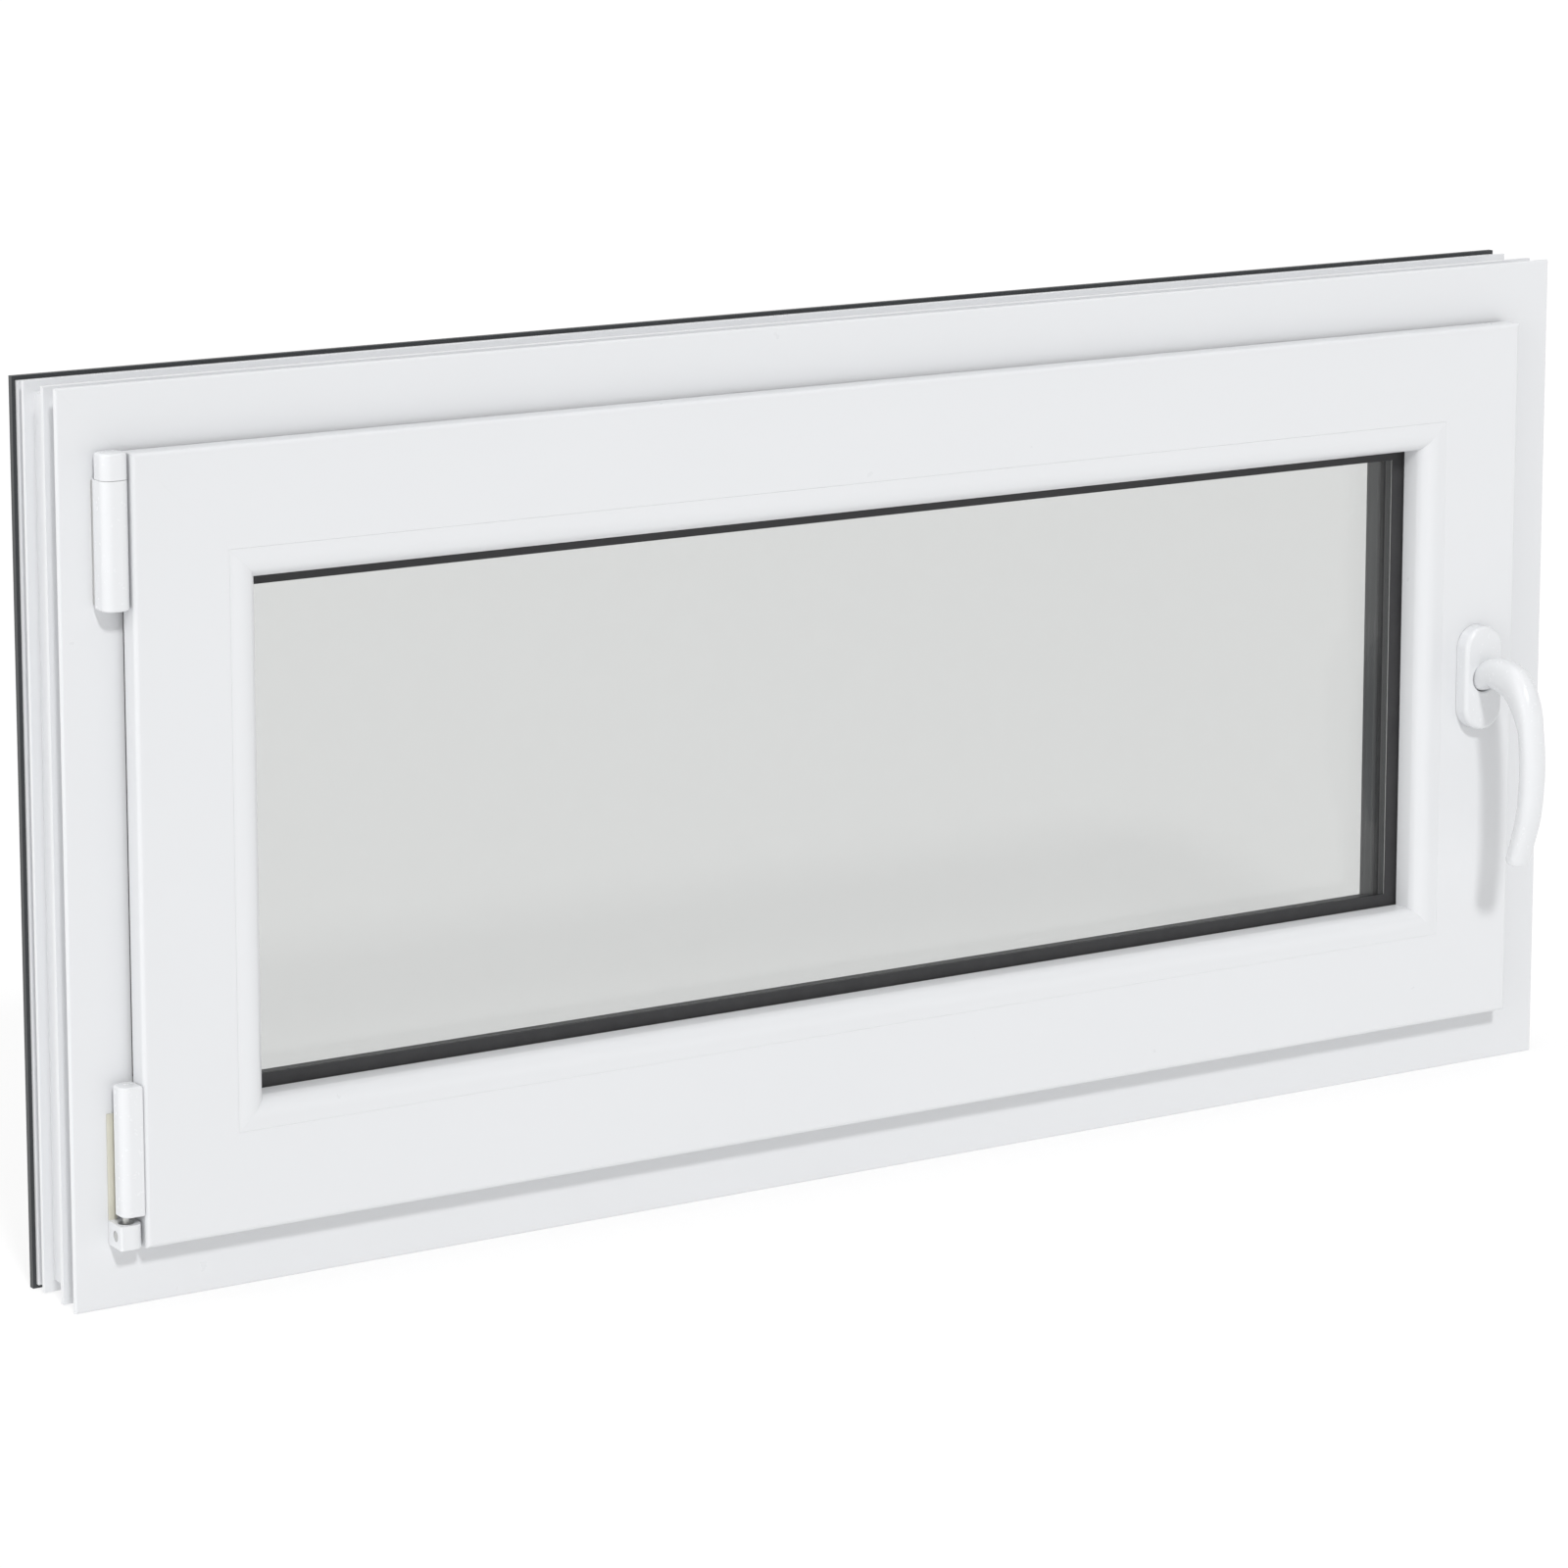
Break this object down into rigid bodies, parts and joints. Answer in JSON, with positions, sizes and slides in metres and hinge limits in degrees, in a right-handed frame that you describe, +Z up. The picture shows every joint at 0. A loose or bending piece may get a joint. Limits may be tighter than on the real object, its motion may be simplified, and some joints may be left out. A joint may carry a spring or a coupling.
{
  "type": "tilt-and-turn casement window",
  "caption": "Wide tilt-and-turn window: white plastic frame and sash with a dark outer skin, double glazing, side hinges and a curved lever handle.",
  "frame": {"origin": "middle of the end face of the sill's front rib, the flat land on which the window stands on its wall", "axes": "+X along the window towards the handle side, +Y from the room towards the outside, +Z up"},
  "size_m": [1.2, 0.1656, 0.6],
  "materials": {
    "pvc_white": "smooth white PVC with a soft sheen",
    "shell_anthracite": "fine-grained anthracite outer skin",
    "seal_black": "matt black sealing rubber",
    "lacquer_white": "white powder coat with a gentle gloss",
    "steel_zinc": "zinc-plated fittings steel",
    "steel_galvanised": "galvanised core steel, dull",
    "glass_clear": "clear float glass",
    "spacer_dark": "dark spacer bar between the panes",
    "packer_green": "plain plastic glazing packer"
  },
  "bodies": {
    "frame": {"frame_hinge_jamb": "pvc_white", "frame_head": "pvc_white", "frame_lock_jamb": "pvc_white", "frame_sill": "pvc_white", "frame_steel_hinge": "steel_galvanised", "frame_steel_head": "steel_galvanised", "frame_steel_lock": "steel_galvanised", "frame_steel_sill": "steel_galvanised", "frame_outer_shell": "shell_anthracite", "frame_outer_seal": "seal_black", "stay_bearing": "steel_zinc", "stay_bearing_pin": "steel_zinc", "stay_bearing_cover": "lacquer_white", "corner_bearing": "lacquer_white", "corner_bearing_screw": "steel_zinc", "lower_lock_keep": "steel_zinc", "upper_lock_keep": "steel_zinc", "head_keep": "steel_zinc"},
    "hinge_swivel": {"bearing_swivel": "steel_zinc"},
    "stay": {"stay_arm": "steel_zinc", "stay_cap": "lacquer_white"},
    "sash": {"sash_hinge_stile": "pvc_white", "sash_head_rail": "pvc_white", "sash_lock_stile": "pvc_white", "sash_bottom_rail": "pvc_white", "glazing_bead_hinge": "pvc_white", "glazing_bead_head": "pvc_white", "glazing_bead_lock": "pvc_white", "glazing_bead_sill": "pvc_white", "sash_outer_shell": "shell_anthracite", "sash_inner_seal": "seal_black", "sash_seal_hinge_length": "seal_black", "inner_glazing_gasket": "seal_black", "outer_glazing_gasket": "seal_black", "corner_band_cover": "lacquer_white", "handle_rosette": "lacquer_white", "corner_pivot_pin": "steel_zinc", "corner_band": "steel_zinc", "lock_faceplate": "steel_zinc", "head_faceplate": "steel_zinc", "stay_guide_rail": "steel_zinc", "upper_corner_drive": "steel_zinc", "gearbox_case": "steel_zinc", "handle_base_plate": "steel_zinc", "handle_screw_upper": "steel_zinc", "handle_screw_lower": "steel_zinc", "sash_steel_hinge": "steel_galvanised", "sash_steel_head": "steel_galvanised", "sash_steel_lock": "steel_galvanised", "sash_steel_sill": "steel_galvanised", "inner_pane": "glass_clear", "outer_pane": "glass_clear", "spacer_bar": "spacer_dark", "glass_packer_lower": "packer_green", "glass_packer_upper": "packer_green"},
    "handle": {"handle_lever": "lacquer_white", "handle_spindle": "steel_zinc", "gearbox_pinion": "steel_zinc"},
    "lock_rod": {"lock_drive_rod": "steel_zinc"},
    "head_rod": {"head_drive_rod": "steel_zinc"}
  },
  "joints": [
    {"name": "sash_turn", "type": "hinge", "parent": "frame", "child": "hinge_swivel", "pos_m": [-0.568, -0.0325, 0.299], "axis": [0, 0, -1], "range_deg": [0, 90]},
    {"name": "sash_tilt", "type": "hinge", "parent": "hinge_swivel", "child": "sash", "pos_m": [-0.568, -0.0325, 0.049], "axis": [1, 0, 0], "range_deg": [0, 9]},
    {"name": "stay_swing", "type": "hinge", "parent": "hinge_swivel", "child": "stay", "pos_m": [-0.568, -0.0325, 0.299], "axis": [0, 0, -1], "range_deg": [0, 15]},
    {"name": "handle_turn", "type": "hinge", "parent": "sash", "child": "handle", "pos_m": [0.522, -0.047, 0.299], "axis": [0, 1, 0], "range_deg": [0, 180]},
    {"name": "lock_rod_slide", "type": "slide", "parent": "sash", "child": "lock_rod", "axis": [0, 0, -1], "range_m": [0, 0.0361]},
    {"name": "head_rod_slide", "type": "slide", "parent": "sash", "child": "head_rod", "axis": [1, 0, 0], "range_m": [0, 0.0361]}
  ],
  "couplings": [
    {"joint": "stay_swing", "follows": "sash_tilt", "ratio": 1.629},
    {"joint": "lock_rod_slide", "follows": "handle_turn", "m_per_rad": 0.01146},
    {"joint": "head_rod_slide", "follows": "handle_turn", "m_per_rad": 0.01146}
  ]
}
